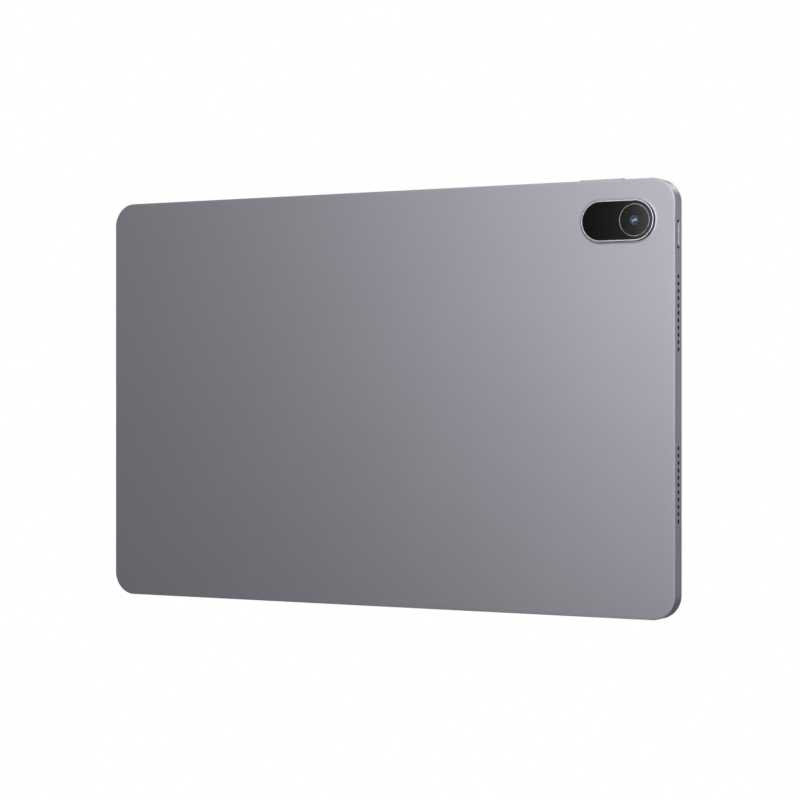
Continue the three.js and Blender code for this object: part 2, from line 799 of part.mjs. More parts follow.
place(tablet, "cover_glass", coverGlass(), MATERIALS.blackGlass);
place(tablet, "display_adhesive", displayAdhesive(), MATERIALS.foam);
place(tablet, "display_frame", displayFrame(), MATERIALS.blackPlastic);
place(tablet, "lcd_panel", layer(LCD_Y, GLASS_BACK_Y - FILM), MATERIALS.panel);
place(tablet, "backlight_unit", layer(BACKLIGHT_Y, LCD_Y - FILM), MATERIALS.reflector);
place(tablet, "display_backplate", layer(BACKPLATE_Y, BACKLIGHT_Y - FILM), MATERIALS.steel);
place(tablet, "display_flex", displayFlex(), MATERIALS.flex);
place(tablet, "front_camera", frontCamera(), MATERIALS.blackPlastic, [0, 0, FRONT_CAMERA_Z]);
place(
  tablet,
  "front_camera_lens",
  prism(circle(0, 0, 1.2), "Y", 2.54, GLASS_BACK_Y - FILM, 6),
  MATERIALS.lens,
  [0, 0, FRONT_CAMERA_Z],
);
place(
  tablet,
  "light_sensor",
  box(-1.5, 1.5, 1.4, GLASS_BACK_Y - FILM, -1.2, 1.2),
  MATERIALS.blackPlastic,
  [LIGHT_SENSOR_X, 0, FRONT_CAMERA_Z],
);

// ---- Screws ----------------------------------------------------------------------------

// A pan-head screw with a cross recess, its head's underside on y = 0.
function screw() {
  const head = prism(circle(0, 0, SCREW_HEAD_R), "Y", 0, 0.5, 6);
  const shank = prism(circle(0, 0, SCREW_SHANK_R), "Y", -SCREW_SHANK, 0.1, 4);
  const recess = [
    box(-0.7, 0.7, 0.25, 1, -0.14, 0.14),
    box(-0.14, 0.14, 0.25, 1, -0.7, 0.7),
  ];
  return cut(join(head, shank), ...recess);
}

for (const [name, x, z] of SCREWS) {
  const seat = name.includes("bracket") ? BOARD_Y + 0.3 : BOARD_TOP_Y;
  place(tablet, name, screw(), MATERIALS.steel, [x, seat + FILM, z]);
}

export default tablet;
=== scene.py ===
"""Tablet computer: the visible surfaces and materials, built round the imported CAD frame.

Shapes are worked out in millimetres and scaled to metres when a piece is made.
"""

import math

import bmesh
import bpy
from mathutils import Matrix, Vector


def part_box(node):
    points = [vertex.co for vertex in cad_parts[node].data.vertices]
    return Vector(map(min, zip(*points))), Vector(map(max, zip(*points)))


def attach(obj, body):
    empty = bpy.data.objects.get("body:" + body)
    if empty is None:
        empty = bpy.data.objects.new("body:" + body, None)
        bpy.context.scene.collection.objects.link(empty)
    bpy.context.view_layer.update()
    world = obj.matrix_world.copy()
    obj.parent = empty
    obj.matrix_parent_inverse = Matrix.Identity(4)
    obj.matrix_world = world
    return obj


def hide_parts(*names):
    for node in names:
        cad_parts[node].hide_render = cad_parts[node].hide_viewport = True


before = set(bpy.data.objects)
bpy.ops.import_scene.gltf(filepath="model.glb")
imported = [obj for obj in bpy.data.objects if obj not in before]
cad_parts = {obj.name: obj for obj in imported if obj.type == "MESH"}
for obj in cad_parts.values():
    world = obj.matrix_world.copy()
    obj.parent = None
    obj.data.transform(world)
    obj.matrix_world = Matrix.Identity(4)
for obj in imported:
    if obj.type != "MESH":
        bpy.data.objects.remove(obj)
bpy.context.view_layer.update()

MM = 0.001
QUARTER = math.pi / 2
SHARP = math.radians(32)
BLEED = 0.5  # how far a cutter runs past the skin it cuts
ROUND_STEPS = 28  # in each quarter of the rings that the casing is lofted from


def span(node):
    """A CAD node's lowest and highest corners, in millimetres."""
    low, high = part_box(node)
    return low / MM, high / MM


# ---- Dimensions, read from the frame wherever a node shows them -------------------------

CASE_HIGH = span("rear_casing")[1]
SIDE_X = CASE_HIGH.x
HEIGHT = CASE_HIGH.z
MID_Z = HEIGHT / 2
RIM_Y = CASE_HIGH.y
FRONT_Y = span("cover_glass")[1].y
BACK_Y = -FRONT_Y
CORNER_R = 9.2
SIDE_WALL = 2.2
RIM_WALL = 0.95
LEDGE_Y = 1.0
FLOOR_Y = BACK_Y + 0.8
BACK_CHAMFER = 0.75  # in from the side walls
BACK_CHAMFER_DEPTH = 0.022
BACK_FLAT = 1.6  # in from the side walls, where the back is flat

WINDOW_LOW, WINDOW_HIGH = span("camera_window")
ISLAND_X = (WINDOW_LOW.x + WINDOW_HIGH.x) / 2
ISLAND_Z = (WINDOW_LOW.z + WINDOW_HIGH.z) / 2
WINDOW_R = (WINDOW_HIGH.z - WINDOW_LOW.z) / 2
ISLAND_HALF = (WINDOW_HIGH.x - WINDOW_LOW.x) / 2 - WINDOW_R
LENS_X = ISLAND_X + ISLAND_HALF
LENS_R = 1.85
DOME_R = 1.1
DOME_SAG = 0.14
APERTURE_R = 1.9  # the hole in the window that the lens looks through
APERTURE_CHAMFER = 0.06
WELL_R = 5.5  # the darker part of the window round the lens
PLATEAU_R = 8.6  # foot of its soft slope
PLATEAU_FLAT = PLATEAU_R + 1  # where the back is flat again
LIP_R = 7.88  # inner edge of the plateau's lip
LIP_W = 0.1
LIP_H = 0.11
SEAT_H = -0.1  # bottom of the recess that the trim sits in
TRIM_R = 7.8
TRIM_H = 1.35
TRIM_TAIL_R = 6.9  # the trim's tail goes through the back wall
TRIM_INNER_R = 6.1
SHELF_H = 0.64  # the shelf in the trim that carries the window
WINDOW_TOP = TRIM_H - 0.1
WINDOW_FOOT = 0.66
PANE_CAP_R = 2.5  # last ring of the pane before its flat closes
HOLE_R = 7.0  # the hole in the back wall, under the trim
RING_LOW, RING_HIGH = span("lens_trim_ring")
RING_R = (RING_HIGH.z - RING_LOW.z) / 2
RING_W = 0.11
RING_BASE = WINDOW_TOP + 0.01
RING_TOP = RING_BASE + 0.04

KEY_R = 0.9  # half the thickness of a key's cap
KEY_FLANGE_SOFT = 0.1
POWER_DRAFT = 0.09
SLOT_R = 1.1  # half the width of its slot in the casing
POWER_LOW, POWER_HIGH = span("power_button")
ROCKER_LOW, ROCKER_HIGH = span("volume_rocker")
KEY_PROUD = POWER_HIGH.x - SIDE_X
KEY_Y = -0.15
POWER_Z = (POWER_LOW.z + POWER_HIGH.z) / 2 + 0.1
POWER_HALF = 3.98  # middle of the key to the middle of each end arc
POWER_SLOT_HALF = 4.25
POWER_ROOT_X = SIDE_X - 2.6  # the cap's root, inside its flange
POWER_FLANGE_X = (SIDE_X - 2.85, SIDE_X - 2.42)
POWER_NUB_X = (SIDE_X - 3.2, SIDE_X - 2.7)
POWER_NUB_R = 0.7
ROCKER_X = (ROCKER_LOW.x + ROCKER_HIGH.x) / 2
ROCKER_HALF = 8.1
ROCKER_SLOT_HALF = 8.2
ROCKER_ROOT_Z = HEIGHT - 2.8
ROCKER_FLANGE_Z = (HEIGHT - 3, HEIGHT - 2.62)
ROCKER_NUB_Z = (HEIGHT - 3.3, HEIGHT - 2.85)
ROCKER_NUB_R = 0.6
ROCKER_NUB_PITCH = 6.5

BOSS_R = 1.7
BOSS_FOOT_R = BOSS_R + 0.5
BOARD_GAP = 0.02  # between the bosses and the boards they carry
BORE_R = 0.62
BORE_FLOOR = 0.1  # the bore stops short of the casing's floor
RIB_W = 0.8
RIB_H = 1.6
SINK = 0.1  # how far a boss or a rib reaches into the floor it stands on

HOLE_COUNT = 11
HOLE_PITCH = 2.7
SPEAKER_R = 0.8
SPEAKER_Z = 31.8  # middle of a row of holes, above or below mid height
USB_LOW, USB_HIGH = span("usb_socket_shell")
USB_Y = (USB_LOW.y + USB_HIGH.y) / 2
USB_R = (USB_HIGH.y - USB_LOW.y) / 2
USB_HALF = (USB_HIGH.z - USB_LOW.z) / 2 - USB_R
USB_GAP = 0.1  # between the socket's shell and the casing
USB_FLARE = 0.2
USB_SHELL_WALL = 0.3
BLADE_T = 0.35  # half the thickness and half the width of the tongue's blade
BLADE_W = 3.3
USB_ROOT = 1.2  # length of the tongue's thicker root
CONTACTS = 12
CONTACT_PITCH = 0.5
CONTACT_START, CONTACT_END = 0.45, 4.2  # back from the blade's nose
MIC_Z = MID_Z + 8.8
MIC_R = 0.4
MIC_FLARE = 0.08


# ---- Rings and lofts --------------------------------------------------------------------


def arc(x, y, r, start, turns, steps):
    """Points on an arc that starts at an angle and turns left by so many quarter turns."""
    return [
        (
            x + r * math.cos(start + turns * QUARTER * i / steps),
            y + r * math.sin(start + turns * QUARTER * i / steps),
        )
        for i in range(steps + 1)
    ]


def corners(x0, y0, x1, y1, r, steps):
    """A rectangle's outline with round corners, anticlockwise from its lower right."""
    r = max(r, 1e-4)
    return (
        arc(x1 - r, y0 + r, r, -QUARTER, 1, steps)
        + arc(x1 - r, y1 - r, r, 0, 1, steps)
        + arc(x0 + r, y1 - r, r, QUARTER, 1, steps)
        + arc(x0 + r, y0 + r, r, 2 * QUARTER, 1, steps)
    )


def body_ring(inset):
    """The tablet's outline, drawn in by so much."""
    return corners(
        -SIDE_X + inset, inset, SIDE_X - inset, HEIGHT - inset,
        CORNER_R - inset, ROUND_STEPS,
    )


def stadium(x, y, half, r, steps=ROUND_STEPS, upright=False):
    """A stadium of as many points as corners() gives, lying along x or standing along y."""
    along, across = (0, half) if upright else (half, 0)
    return corners(
        x - along - r, y - across - r, x + along + r, y + across + r, r - 2e-4, steps
    )


def circle(x, y, r, steps=32):
    return [
        (
            x + r * math.cos(4 * QUARTER * i / steps),
            y + r * math.sin(4 * QUARTER * i / steps),
        )
        for i in range(steps)
    ]


def turned(profile, closed=False, steps=6):
    """A profile whose corners are rounded by the radius that is each point's third number."""
    made = []
    count = len(profile)
    for k, (x, y, *radius) in enumerate(profile):
        here = Vector((x, y))
        if not radius or not (closed or 0 < k < count - 1):
            made.append((x, y))
            continue
        back = (Vector(profile[k - 1][:2]) - here).normalized()
        ahead = (Vector(profile[(k + 1) % count][:2]) - here).normalized()
        half_angle = back.angle(ahead) / 2
        reach = radius[0] / math.tan(half_angle)
        centre = here + (back + ahead).normalized() * radius[0] / math.sin(half_angle)
        first = here + back * reach - centre
        last = here + ahead * reach - centre
        sweep = first.angle_signed(last)
        for i in range(steps + 1):
            angle = -sweep * i / steps
            made.append(
                (
                    centre.x + first.x * math.cos(angle) - first.y * math.sin(angle),
                    centre.y + first.x * math.sin(angle) + first.y * math.cos(angle),
                )
            )
    return made


PLACES = {
    "X": lambda u, v, depth: (depth, u, v),
    "Y": lambda u, v, depth: (u, depth, v),
    "Z": lambda u, v, depth: (u, v, depth),
}


def loft(sections, axis="Y", closed=False, into=None):
    """A closed skin over rings of equally many points, each given as (ring, depth)."""
    skin = bmesh.new()
    rings = [
        [skin.verts.new(PLACES[axis](u, v, depth)) for u, v in ring]
        for ring, depth in sections
    ]
    pairs = list(zip(rings, rings[1:]))
    if closed:
        pairs.append((rings[-1], rings[0]))
    for lower, upper in pairs:
        for i in range(len(lower)):
            j = (i + 1) % len(lower)
            skin.faces.new((lower[i], lower[j], upper[j], upper[i]))
    if not closed:
        skin.faces.new(rings[0])
        skin.faces.new(rings[-1])
    bmesh.ops.remove_doubles(skin, verts=skin.verts, dist=1e-3)
    bmesh.ops.recalc_face_normals(skin, faces=skin.faces)
    return added(into, skin)


def added(into, skin):
    """The skin, appended to another bmesh if one is given."""
    if into is None:
        return skin
    mesh = bpy.data.meshes.new("part")
    skin.to_mesh(mesh)
    skin.free()
    into.from_mesh(mesh)
    bpy.data.meshes.remove(mesh)
    return into


def block(x0, x1, y0, y1, z0, z1, soften):
    """A slab with all its edges rounded."""
    skin = bmesh.new()
    bmesh.ops.create_cube(skin, size=1)
    size = Vector((x1 - x0, y1 - y0, z1 - z0))
    middle = Vector((x0 + x1, y0 + y1, z0 + z1)) / 2
    for vert in skin.verts:
        vert.co = Vector(a * b for a, b in zip(vert.co, size)) + middle
    bmesh.ops.bevel(
        skin,
        geom=list(skin.edges),
        offset=soften,
        segments=3,
        profile=0.5,
        affect="EDGES",
    )
    return skin


# ---- Pieces -----------------------------------------------------------------------------


def combined(skin, operand, operation):
    """A skin joined with, or cut by, another skin's solids."""
    objects = []
    for source in (skin, operand):
        mesh = bpy.data.meshes.new("operand")
        source.to_mesh(mesh)
        source.free()
        thing = bpy.data.objects.new("operand", mesh)
        bpy.context.scene.collection.objects.link(thing)
        objects.append(thing)
    target, tool = objects
    modifier = target.modifiers.new("combine", "BOOLEAN")
    modifier.operation = operation
    modifier.solver = "EXACT"
    modifier.object = tool
    shown = target.evaluated_get(bpy.context.evaluated_depsgraph_get())
    result = bmesh.new()
    result.from_mesh(shown.to_mesh())
    shown.to_mesh_clear()
    for thing in objects:
        mesh = thing.data
        bpy.data.objects.remove(thing)
        bpy.data.meshes.remove(mesh)
    return result


def joined(skin, *others):
    """Skins that overlap, as one."""
    for other in others:
        skin = combined(skin, other, "UNION")
    return skin


def piece(name, skin, look, replaced, body="tablet"):
    """One visible piece, standing for CAD nodes and riding on a body."""
    mesh = bpy.data.meshes.new(name)
    skin.transform(Matrix.Scale(MM, 4))
    skin.to_mesh(mesh)
    skin.free()
    mesh.shade_smooth()
    mesh.set_sharp_from_angle(angle=SHARP)
    mesh.materials.append(look)
    thing = bpy.data.objects.new(name, mesh)
    bpy.context.scene.collection.objects.link(thing)
    weighted = thing.modifiers.new("weighted normals", "WEIGHTED_NORMAL")
    weighted.keep_sharp = True
    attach(thing, body)
    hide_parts(*replaced)
    return thing


# ---- Materials --------------------------------------------------------------------------


class Look:
    """A material made of nodes, laid over a piece in the frame's own coordinates."""

    def __init__(self, name, color, metallic=0.0, roughness=0.5, **sockets):
        self.material = bpy.data.materials.new(name)
        self.material.use_nodes = True
        self.tree = self.material.node_tree
        self.shader = self.tree.nodes["Principled BSDF"]
        self.set("Base Color", (*color, 1))
        self.set("Metallic", metallic)
        self.set("Roughness", roughness)
        for socket, value in sockets.items():
            self.set(socket.replace("_", " "), value)
        self.at = self.node("ShaderNodeTexCoord").outputs["Object"]

    def set(self, socket, value):
        self.shader.inputs[socket].default_value = value

    def node(self, kind, inputs=None, **settings):
        made = self.tree.nodes.new(kind)
        for key, value in settings.items():
            setattr(made, key, value)
        for key, value in (inputs or {}).items():
            self.feed(made.inputs[key], value)
        return made

    def feed(self, socket, value):
        if isinstance(value, bpy.types.NodeSocket):
            self.tree.links.new(value, socket)
        else:
            socket.default_value = value

    def drive(self, socket, value):
        self.feed(self.shader.inputs[socket], value)

    def stretched(self, x=1.0, y=1.0, z=1.0):
        """The frame's coordinates, scaled along each axis."""
        return self.node(
            "ShaderNodeMapping", {"Vector": self.at, "Scale": (x, y, z)}
        ).outputs[0]

    def noise(self, size_mm, detail=2.0, at=None):
        """Noise whose blotches are about so many millimetres across."""
        return self.node(
            "ShaderNodeTexNoise",
            {"Vector": at or self.at, "Scale": 1 / (size_mm * MM), "Detail": detail},
        ).outputs["Fac"]

    def wave(self, period_mm, direction):
        """Smooth stripes that repeat every so many millimetres along an axis."""
        return self.node(
            "ShaderNodeTexWave",
            {"Vector": self.at, "Scale": math.pi / 10 / (period_mm * MM)},
            bands_direction=direction,
        ).outputs["Fac"]

    def math(self, operation, a, b=0.0):
        return self.node("ShaderNodeMath", {0: a, 1: b}, operation=operation).outputs[0]

    def span(self, value, low, high, to_low=0.0, to_high=1.0):
        """A value's range mapped onto another range, and held at its ends."""
        return self.node(
            "ShaderNodeMapRange",
            {
                "Value": value,
                "From Min": low,
                "From Max": high,
                "To Min": to_low,
                "To Max": to_high,
            },
        ).outputs[0]

    def mix(self, factor, a, b):
        """One colour turned into another by a factor."""
        made = self.node("ShaderNodeMix", data_type="RGBA")
        colour_sockets = [s for s in made.inputs if s.type == "RGBA"]
        self.feed(made.inputs["Factor"], factor)
        for socket, value in zip(colour_sockets, (a, b)):
            is_colour = isinstance(value, tuple)
            self.feed(socket, (*value, 1) if is_colour else value)
        return [s for s in made.outputs if s.type == "RGBA"][0]

    def bump(self, height, depth_mm):
        """Bump whose full height is so many millimetres."""
        made = self.node(
            "ShaderNodeBump",
            {"Height": height, "Distance": depth_mm * MM, "Strength": 1.0},
        )
        self.drive("Normal", made.outputs[0])

    def axis(self, name):
        """One of the frame's coordinates, in millimetres."""
        parts = self.node("ShaderNodeSeparateXYZ", {0: self.at})
        return self.math("DIVIDE", parts.outputs[name], MM)

    def distance(self, x, z):
        """How far a point lies from a line along Y, in millimetres."""
        dx = self.math("SUBTRACT", self.axis("X"), x)
        dz = self.math("SUBTRACT", self.axis("Z"), z)
        squares = self.math(
            "ADD", self.math("MULTIPLY", dx, dx), self.math("MULTIPLY", dz, dz)
        )
        return self.math("SQRT", squares)


CUT_EDGE_AND_HIGHLIGHT = 1.06  # how much brighter the cut edges are painted than blasted metal: partly a cut finish, partly a painted highlight
HOLE_SHADE = 0.25  # painted shade: how bright the walls of holes and slots are painted, darker than the outside
END_SHADE = 0.04  # painted shade: how bright the rocker's end caps are painted
ROCKER_END = (ROCKER_HALF, ROCKER_HALF + 0.15)  # they begin here, from its middle
ROCKER_REACH = (10, 11)  # and fade out here, short of the power key


def shade(color, factor):
    return tuple(c * factor for c in color)


def wall_depth(look):
    """How deep a point lies in the side walls, in millimetres: 0 all over the outside."""
    from_corner = []
    for axis, middle, half in (("X", 0, SIDE_X), ("Z", MID_Z, MID_Z)):
        away = look.math("ABSOLUTE", look.math("SUBTRACT", look.axis(axis), middle))
        from_corner.append(look.math("SUBTRACT", away, half - CORNER_R))
    past = [look.math("MAXIMUM", value, 0) for value in from_corner]
    squares = [look.math("MULTIPLY", value, value) for value in past]
    out = look.math("SQRT", look.math("ADD", *squares))
    nearest = look.math("MINIMUM", look.math("MAXIMUM", *from_corner), 0)
    depth = look.math("SUBTRACT", CORNER_R, look.math("ADD", out, nearest))
    past_back_wall = look.span(look.axis("Y"), FLOOR_Y, FLOOR_Y + 0.2)
    return look.math("MULTIPLY", depth, past_back_wall)


def anodised(name, color, roughness, cut_edges_highlight_and_hole_shade=False, painted_shade_ends=False):
    """Bead-blasted, anodised aluminium: a fine even grain with faint clouding.

    The back's chamfer and the camera's plateau are painted brighter: partly a cut finish,
    partly a painted highlight.
    The walls of its holes and slots and the rocker's ends are painted dark: painted shade.
    """
    look = Look(name, color, metallic=1.0, roughness=roughness)
    clouds = look.noise(45, 3)
    metal = look.mix(clouds, shade(color, 0.975), shade(color, 1.025))
    if cut_edges_highlight_and_hole_shade:
        # partly a cut finish, partly a painted highlight: the back's chamfer and the camera's
        # plateau get a brighter base colour
        depth = look.math("SUBTRACT", look.axis("Y"), BACK_Y)
        chamfer = look.math(
            "MULTIPLY",
            look.span(depth, 0.002, 0.006),
            look.span(depth, BACK_CHAMFER_DEPTH + 0.01, BACK_CHAMFER_DEPTH + 0.03, 1, 0),
        )
        plateau = look.span(depth, -0.04, -0.01, 1, 0)
        painted_edge_highlight = look.math("MAXIMUM", chamfer, plateau)
        metal = look.mix(painted_edge_highlight, metal, shade(color, CUT_EDGE_AND_HIGHLIGHT))
        # painted shade: the walls of holes and slots are painted dark
        painted_hole_shade = look.span(wall_depth(look), 0.1, 0.3)
        metal = look.mix(painted_hole_shade, metal, shade(color, HOLE_SHADE))
    if painted_shade_ends:
        # painted shade: the rocker's end caps are painted dark
        from_middle = look.math("SUBTRACT", look.axis("X"), ROCKER_X)
        away = look.math("ABSOLUTE", from_middle)
        painted_end_shade = look.math(
            "MULTIPLY",
            look.span(away, *ROCKER_END),
            look.span(away, *ROCKER_REACH, 1, 0),
        )
        metal = look.mix(painted_end_shade, metal, shade(color, END_SHADE))
    look.drive("Base Color", metal)
    grain = look.noise(0.09, 2)
    look.drive(
        "Roughness", look.span(grain, 0.3, 0.7, roughness - 0.03, roughness + 0.03)
    )
    look.bump(grain, 0.0016)
    return look.material


def polished():
    """Diamond-cut aluminium with faint turning marks."""
    look = Look("polished_trim", (0.36, 0.36, 0.385), metallic=1.0, roughness=0.27)
    marks = look.noise(0.5, 4, look.stretched(1, 12, 1))
    look.drive("Roughness", look.span(marks, 0.3, 0.7, 0.24, 0.3))
    look.bump(look.noise(0.3, 3, look.stretched(1, 20, 1)), 0.0001)
    return look.material


def window_glass():
    """Coated, black-backed camera glass with a darker well round the lens."""
    look = Look("camera_glass", (0.002, 0.002, 0.003), roughness=0.09)
    look.set("Specular IOR Level", 0.15)
    near = look.distance(LENS_X, ISLAND_Z)
    beyond = look.span(near, WELL_R, WELL_R + 0.3)
    back = look.mix(beyond, (0.001, 0.001, 0.0015), (0.002, 0.002, 0.003))
    look.drive("Base Color", back)
    look.drive("Roughness", look.span(look.noise(2.5, 3), 0.3, 0.7, 0.08, 0.1))
    return look.material


def lens_coating():
    """Anti-reflection coating over a dark lens: it turns the light it reflects blue. A soft
    blue spot just off the lens's middle is a painted reflection.
    """
    look = Look("coated_lens", (0.01, 0.012, 0.03), roughness=0.12)
    out = look.distance(LENS_X, ISLAND_Z)
    # painted reflection: a soft blue spot on the dome, left of and below its middle
    from_painted_reflection = look.distance(LENS_X - 0.4, ISLAND_Z - 0.25)
    painted_reflection = look.mix(look.span(from_painted_reflection, 0.2, 0.75), (0.45, 0.54, 0.95), (0.012, 0.014, 0.04))
    edge = look.mix(look.span(out, DOME_R, DOME_R + 0.1), painted_reflection, (0.02, 0.021, 0.025))
    look.drive("Base Color", edge)
    grain = look.span(look.noise(0.6, 2), 0.3, 0.7, -0.02, 0.03)
    funnel = look.span(out, DOME_R, DOME_R + 0.05, 0.1, 0.5)
    look.drive("Roughness", look.math("ADD", grain, funnel))
    look.set("Specular IOR Level", 0.85)
    look.set("Specular Tint", (0.66, 0.78, 1.0, 1))
    return look.material


ACTIVE_INSET = 0.6  # the picture stops short of the panel's edge
PIXEL = 0.11


def front_glass():
    """The front of the tablet: black border, dark panel behind, camera and sensor windows."""
    look = Look("cover_glass", (0.004, 0.004, 0.005), roughness=0.05)
    lcd_low, lcd_high = span("lcd_panel")
    off_x = look.math("ABSOLUTE", look.axis("X"))
    inside_x = look.math("SUBTRACT", lcd_high.x - ACTIVE_INSET, off_x)
    middle = (lcd_low.z + lcd_high.z) / 2
    off_z = look.math("ABSOLUTE", look.math("SUBTRACT", look.axis("Z"), middle))
    half_z = (lcd_high.z - lcd_low.z) / 2 - ACTIVE_INSET
    inside_z = look.math("SUBTRACT", half_z, off_z)
    active = look.span(look.math("MINIMUM", inside_x, inside_z), -0.05, 0.05)
    pixels = look.math("MULTIPLY", look.wave(PIXEL, "X"), look.wave(PIXEL, "Z"))
    panel = look.mix(pixels, (0.0085, 0.0095, 0.0125), (0.0115, 0.0125, 0.016))
    face = look.mix(active, (0.0035, 0.0035, 0.0045), panel)
    camera_low, camera_high = span("front_camera_lens")
    camera_z = (camera_low.z + camera_high.z) / 2
    from_camera = look.distance(0, camera_z)
    ring = look.mix(look.span(from_camera, 1.45, 1.55), (0.03, 0.031, 0.034), face)
    well = look.mix(look.span(from_camera, 1.1, 1.2), (0.004, 0.005, 0.009), ring)
    pupil = look.mix(look.span(from_camera, 0.35, 0.6), (0.02, 0.035, 0.11), well)
    sensor_low, sensor_high = span("light_sensor")
    sensor_x = (sensor_low.x + sensor_high.x) / 2
    from_sensor = look.distance(sensor_x, camera_z)
    whole = look.mix(look.span(from_sensor, 0.75, 0.85), (0.012, 0.009, 0.012), pupil)
    look.drive("Base Color", whole)
    look.drive("Roughness", look.span(look.noise(6, 3), 0.3, 0.7, 0.04, 0.07))
    return look.material


def moulded():
    """Moulded black plastic with a fine spark-eroded grain."""
    color = (0.015, 0.015, 0.017)
    look = Look("black_plastic", color, roughness=0.55)
    grain = look.noise(0.25, 3)
    look.drive("Base Color", look.mix(grain, shade(color, 0.7), shade(color, 1.35)))
    look.drive("Roughness", look.span(grain, 0.3, 0.7, 0.47, 0.63))
    look.bump(grain, 0.008)
    return look.material


def contacts():
    """Black plastic with a row of gold contacts along each face of the blade."""
    look = Look("socket_tongue", (0.015, 0.015, 0.017), roughness=0.45)
    grain = look.noise(0.25, 3)
    plastic = look.mix(grain, (0.01, 0.01, 0.012), (0.02, 0.02, 0.022))
    from_middle = look.math("SUBTRACT", look.axis("Z"), MID_Z)
    place = look.math("ABSOLUTE", look.math("PINGPONG", from_middle, CONTACT_PITCH / 2))
    strip = look.span(place, CONTACT_PITCH / 4 - 0.02, CONTACT_PITCH / 4 + 0.02)
    row_half = CONTACTS * CONTACT_PITCH / 2
    off_middle = look.math("ABSOLUTE", from_middle)
    row = look.span(off_middle, row_half, row_half + 0.05, 1, 0)
    from_nose = look.math("SUBTRACT", look.axis("X"), span("usb_socket_tongue")[0].x)
    length = look.math(
        "MULTIPLY",
        look.span(from_nose, CONTACT_START, CONTACT_START + 0.05),
        look.span(from_nose, CONTACT_END, CONTACT_END + 0.05, 1, 0),
    )
    gold = look.math("MULTIPLY", strip, look.math("MULTIPLY", row, length))
    look.drive("Base Color", look.mix(gold, plastic, (0.75, 0.52, 0.2)))
    look.drive("Metallic", gold)
    look.drive("Roughness", look.span(gold, 0, 1, 0.5, 0.25))
    look.bump(gold, 0.02)
    return look.material


def brushed():
    """Rolled steel sheet, its grain running along X."""
    color = (0.5, 0.51, 0.52)
    look = Look("steel", color, metallic=1.0, roughness=0.32)
    streaks = look.noise(0.12, 4, look.stretched(0.04, 1, 1))
    look.drive("Base Color", look.mix(streaks, shade(color, 0.82), shade(color, 1.12)))
    look.drive("Roughness", look.span(streaks, 0.3, 0.7, 0.24, 0.42))
    look.bump(streaks, 0.002)
    return look.material


def woven_mesh():
    """Acoustic mesh: black wires woven at a fifth of a millimetre."""
    look = Look("speaker_mesh", (0.012, 0.012, 0.014), metallic=0.6, roughness=0.6)
    weave = look.math("MAXIMUM", look.wave(0.2, "Y"), look.wave(0.2, "Z"))
    look.drive("Base Color", look.mix(weave, (0.001, 0.001, 0.001), (0.02, 0.02, 0.023)))
    look.bump(weave, 0.05)
    return look.material


def circuit_board():
    """Solder mask over copper tracks, with pads and small parts printed on it."""
    look = Look("circuit_board", (0.01, 0.045, 0.03), roughness=0.38)
    tracks = look.node(
        "ShaderNodeTexBrick",
        {
            "Vector": look.at,
            "Color1": (1, 1, 1, 1),
            "Color2": (0.8, 0.8, 0.8, 1),
            "Mortar": (0, 0, 0, 1),
            "Scale": 1 / (1.9 * MM),
            "Mortar Size": 0.04,
            "Brick Width": 0.8,
            "Row Height": 0.35,
        },
    ).outputs["Fac"]
    cells = look.node(
        "ShaderNodeTexVoronoi",
        {"Vector": look.at, "Scale": 1 / (1.3 * MM)},
        distance="CHEBYCHEV",
    ).outputs["Distance"]
    pads = look.span(cells, 0.16, 0.19, 1.0, 0.0)
    mask = look.mix(tracks, (0.008, 0.04, 0.026), (0.02, 0.085, 0.05))
    look.drive("Base Color", look.mix(pads, mask, (0.55, 0.42, 0.16)))
    look.drive("Metallic", pads)
    look.drive("Roughness", look.span(pads, 0, 1, 0.42, 0.25))
    look.bump(look.math("ADD", tracks, pads), 0.03)
    return look.material


def flex_circuit():
    """Amber polyimide over fine copper lines."""
    look = Look("flex_circuit", (0.42, 0.18, 0.04), roughness=0.35)
    lines = look.span(look.wave(0.5, "DIAGONAL"), 0.45, 0.6)
    clouds = look.noise(6, 3)
    film = look.mix(clouds, (0.36, 0.14, 0.03), (0.46, 0.2, 0.05))
    look.drive("Base Color", look.mix(lines, film, (0.62, 0.3, 0.1)))
    look.bump(lines, 0.015)
    look.set("Coat Weight", 0.4)
    return look.material


def battery_pouch():
    """Dark laminated foil, faintly puckered."""
    look = Look("battery_pouch", (0.04, 0.04, 0.045), metallic=0.7, roughness=0.4)
    puckers = look.noise(7, 4)
    fine = look.noise(0.4, 2)
    look.drive(
        "Base Color", look.mix(puckers, (0.033, 0.033, 0.038), (0.048, 0.048, 0.053))
    )
    look.drive("Roughness", look.span(fine, 0.3, 0.7, 0.34, 0.46))
    look.bump(look.math("ADD", puckers, look.math("MULTIPLY", fine, 0.1)), 0.12)
    return look.material


def graphite_film():
    """Heat spreader: pressed graphite flakes."""
    look = Look("graphite", (0.035, 0.035, 0.038), metallic=0.3, roughness=0.5)
    flakes = look.node(
        "ShaderNodeTexVoronoi", {"Vector": look.at, "Scale": 1 / (0.8 * MM)}
    ).outputs["Distance"]
    look.drive(
        "Base Color", look.mix(flakes, (0.028, 0.028, 0.031), (0.05, 0.05, 0.054))
    )
    look.bump(flakes, 0.02)
    return look.material


def panel_layers():
    """The liquid crystal cell: near black, with its pixel grid."""
    look = Look("lcd_panel", (0.012, 0.013, 0.016), roughness=0.12)
    grid = look.math("MULTIPLY", look.wave(PIXEL, "X"), look.wave(PIXEL, "Z"))
    look.drive("Base Color", look.mix(grid, (0.008, 0.009, 0.012), (0.016, 0.017, 0.02)))
    look.bump(grid, 0.004)
    return look.material


